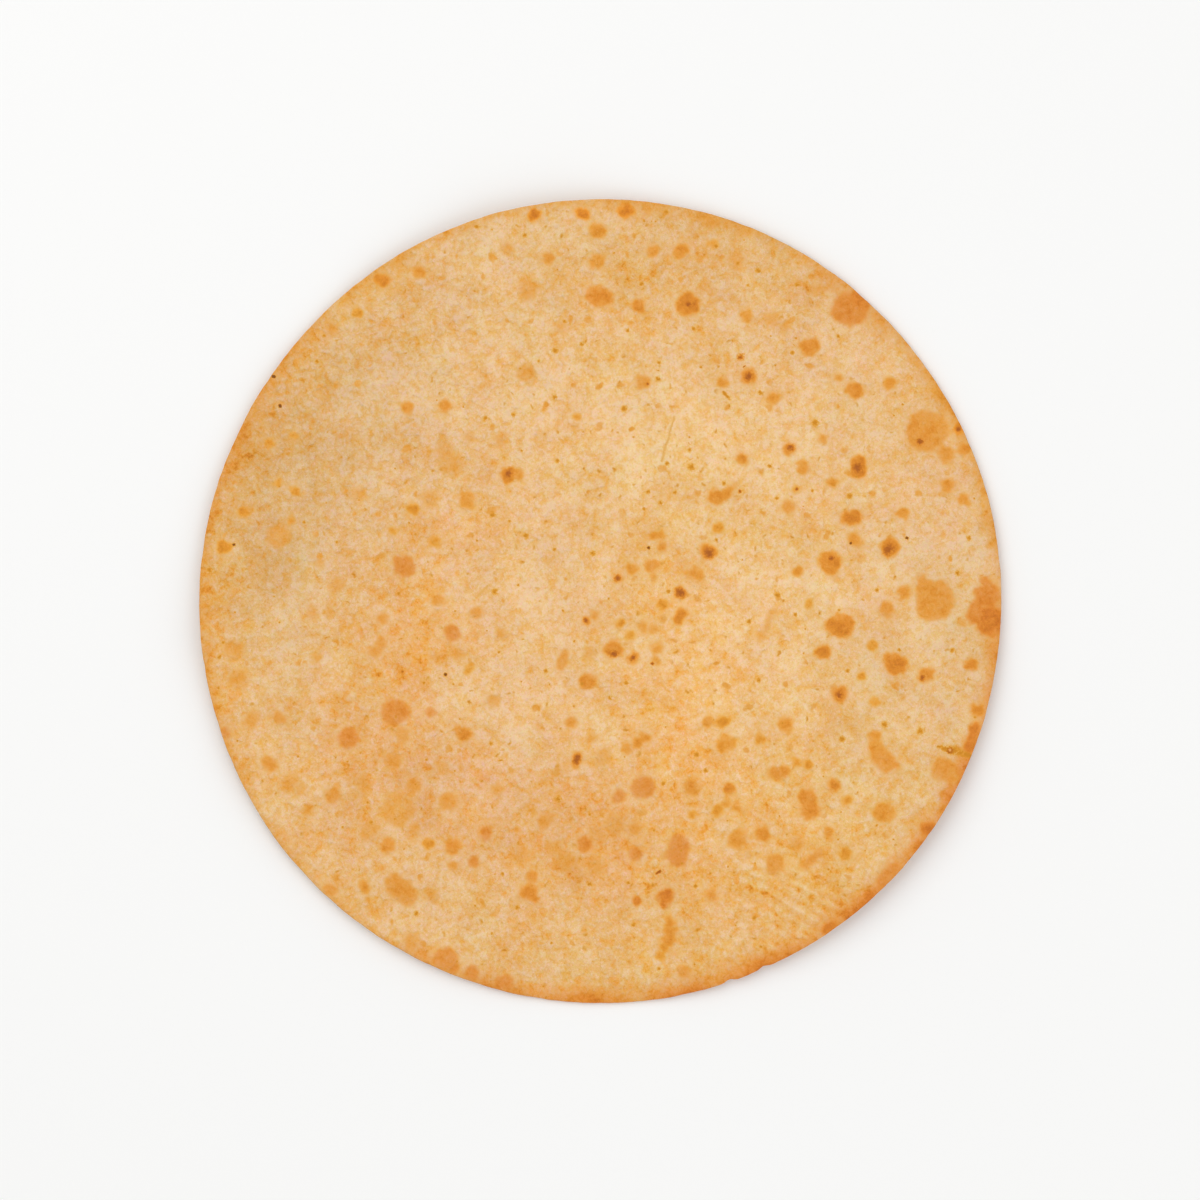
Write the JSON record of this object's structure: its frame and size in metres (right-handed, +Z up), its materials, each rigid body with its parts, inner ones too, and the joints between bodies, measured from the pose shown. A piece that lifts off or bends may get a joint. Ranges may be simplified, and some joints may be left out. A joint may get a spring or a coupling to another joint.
{
  "type": "khakhra",
  "caption": "Thin, crisp, round flatbread, gently warped, with toasted blisters and a browned rim.",
  "frame": {"origin": "under the middle of the bread, level with its lowest spots, where it rests", "axes": "+Z up out of the shown face; +X to the shown face's right and +Y to its far side, seen from above"},
  "size_m": [0.1798, 0.1802, 0.0049],
  "materials": {
    "crisp_crust": "dry matte roasted dough, pale gold with orange-brown blisters and rim"
  },
  "bodies": {
    "root": {"khakhra": "crisp_crust"}
  },
  "joints": []
}
